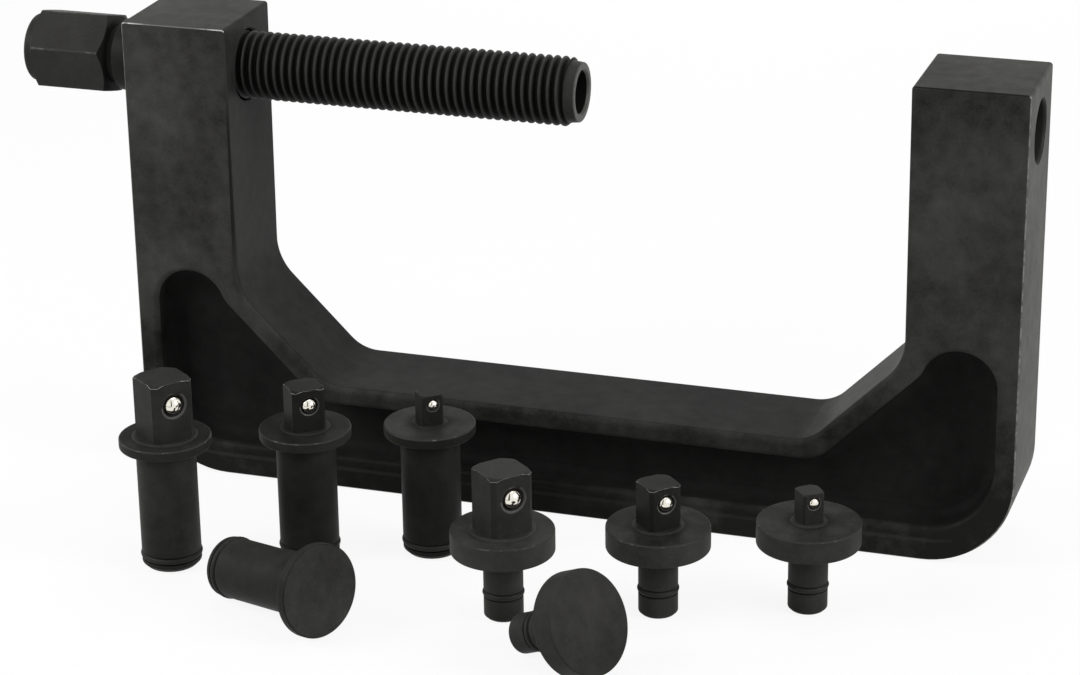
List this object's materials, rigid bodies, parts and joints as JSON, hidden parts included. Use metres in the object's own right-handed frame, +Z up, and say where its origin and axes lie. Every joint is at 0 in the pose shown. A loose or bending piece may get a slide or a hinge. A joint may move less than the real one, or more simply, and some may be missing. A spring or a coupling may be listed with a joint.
{
  "type": "ball joint separator",
  "caption": "C-frame ball joint press with a hex-headed forcing screw and loose push-in square-drive adapters and flat press pads with O-rings.",
  "frame": {"origin": "centre of the flat underside of the C-frame's beam, on the floor", "axes": "+X along the forcing screw from its hex to its nose, +Y away from the viewer and from the loose adapters, +Z up"},
  "size_m": [0.2987, 0.1391, 0.1384],
  "materials": {
    "black_oxide_steel": "matte black oxide, faintly mottled, worn lighter along sharp edges",
    "screw_steel": "black oxide, slightly smoother on the thread",
    "bearing_steel": "polished ball",
    "spring_steel": "bright drawn wire",
    "nitrile_rubber": "black, slightly satin"
  },
  "bodies": {
    "c_frame": {"c_frame": "black_oxide_steel"},
    "thrust_collar": {"thrust_collar": "screw_steel"},
    "forcing_screw": {"forcing_screw": "screw_steel"},
    "long_half_inch_adapter": {"long_half_inch_adapter": "black_oxide_steel", "long_half_inch_ring": "nitrile_rubber", "long_half_inch_spring": "spring_steel"},
    "long_half_inch_ball": {"long_half_inch_ball": "bearing_steel"},
    "long_three_eighths_adapter": {"long_three_eighths_adapter": "black_oxide_steel", "long_three_eighths_ring": "nitrile_rubber", "long_three_eighths_spring": "spring_steel"},
    "long_three_eighths_ball": {"long_three_eighths_ball": "bearing_steel"},
    "long_quarter_inch_adapter": {"long_quarter_inch_adapter": "black_oxide_steel", "long_quarter_inch_ring": "nitrile_rubber", "long_quarter_inch_spring": "spring_steel"},
    "long_quarter_inch_ball": {"long_quarter_inch_ball": "bearing_steel"},
    "long_press_pad": {"long_press_pad": "black_oxide_steel", "long_press_pad_ring": "nitrile_rubber"},
    "short_half_inch_adapter": {"short_half_inch_adapter": "black_oxide_steel", "short_half_inch_ring": "nitrile_rubber", "short_half_inch_spring": "spring_steel"},
    "short_half_inch_ball": {"short_half_inch_ball": "bearing_steel"},
    "short_three_eighths_adapter": {"short_three_eighths_adapter": "black_oxide_steel", "short_three_eighths_ring": "nitrile_rubber", "short_three_eighths_spring": "spring_steel"},
    "short_three_eighths_ball": {"short_three_eighths_ball": "bearing_steel"},
    "short_quarter_inch_adapter": {"short_quarter_inch_adapter": "black_oxide_steel", "short_quarter_inch_ring": "nitrile_rubber", "short_quarter_inch_spring": "spring_steel"},
    "short_quarter_inch_ball": {"short_quarter_inch_ball": "bearing_steel"},
    "short_press_pad": {"short_press_pad": "black_oxide_steel", "short_press_pad_ring": "nitrile_rubber"}
  },
  "joints": [
    {"name": "screw_advance", "type": "slide", "parent": "c_frame", "child": "thrust_collar", "axis": [1, 0, 0], "range_m": [-0.1, 0]},
    {"name": "screw_turn", "type": "hinge", "parent": "thrust_collar", "child": "forcing_screw", "pos_m": [-0.1316, 0, 0.1237], "axis": [1, 0, 0], "range_deg": [-14400, 0]},
    {"name": "long_half_inch_lift", "type": "slide", "parent": "c_frame", "child": "long_half_inch_adapter", "axis": [0, 0, 1], "range_m": [0, 0.12]},
    {"name": "long_half_inch_detent", "type": "slide", "parent": "long_half_inch_adapter", "child": "long_half_inch_ball", "axis": [0.8059, -0.592, 0], "range_m": [-0.00128, 0], "stiffness_N_per_m": 1200, "springref_m": 0.0005, "deforming": ["long_half_inch_spring"]},
    {"name": "long_three_eighths_lift", "type": "slide", "parent": "c_frame", "child": "long_three_eighths_adapter", "axis": [0, 0, 1], "range_m": [0, 0.12]},
    {"name": "long_three_eighths_detent", "type": "slide", "parent": "long_three_eighths_adapter", "child": "long_three_eighths_ball", "axis": [0.6561, -0.7547, 0], "range_m": [-0.00101, 0], "stiffness_N_per_m": 1000, "springref_m": 0.0005, "deforming": ["long_three_eighths_spring"]},
    {"name": "long_quarter_inch_lift", "type": "slide", "parent": "c_frame", "child": "long_quarter_inch_adapter", "axis": [0, 0, 1], "range_m": [0, 0.12]},
    {"name": "long_quarter_inch_detent", "type": "slide", "parent": "long_quarter_inch_adapter", "child": "long_quarter_inch_ball", "axis": [0.6678, -0.7443, 0], "range_m": [-0.0007, 0], "stiffness_N_per_m": 800, "springref_m": 0.0005, "deforming": ["long_quarter_inch_spring"]},
    {"name": "long_press_pad_lift", "type": "slide", "parent": "c_frame", "child": "long_press_pad", "axis": [0, 0, 1], "range_m": [0, 0.12]},
    {"name": "short_half_inch_lift", "type": "slide", "parent": "c_frame", "child": "short_half_inch_adapter", "axis": [0, 0, 1], "range_m": [0, 0.12]},
    {"name": "short_half_inch_detent", "type": "slide", "parent": "short_half_inch_adapter", "child": "short_half_inch_ball", "axis": [0.7547, -0.6561, 0], "range_m": [-0.00128, 0], "stiffness_N_per_m": 1200, "springref_m": 0.0005, "deforming": ["short_half_inch_spring"]},
    {"name": "short_three_eighths_lift", "type": "slide", "parent": "c_frame", "child": "short_three_eighths_adapter", "axis": [0, 0, 1], "range_m": [0, 0.12]},
    {"name": "short_three_eighths_detent", "type": "slide", "parent": "short_three_eighths_adapter", "child": "short_three_eighths_ball", "axis": [0.7009, -0.7133, 0], "range_m": [-0.00101, 0], "stiffness_N_per_m": 1000, "springref_m": 0.0005, "deforming": ["short_three_eighths_spring"]},
    {"name": "short_quarter_inch_lift", "type": "slide", "parent": "c_frame", "child": "short_quarter_inch_adapter", "axis": [0, 0, 1], "range_m": [0, 0.12]},
    {"name": "short_quarter_inch_detent", "type": "slide", "parent": "short_quarter_inch_adapter", "child": "short_quarter_inch_ball", "axis": [0.6266, -0.7793, 0], "range_m": [-0.0007, 0], "stiffness_N_per_m": 800, "springref_m": 0.0005, "deforming": ["short_quarter_inch_spring"]},
    {"name": "short_press_pad_lift", "type": "slide", "parent": "c_frame", "child": "short_press_pad", "axis": [0, 0, 1], "range_m": [0, 0.12]}
  ],
  "couplings": [
    {"joint": "screw_turn", "follows": "screw_advance", "rad_per_m": 2513.3}
  ]
}
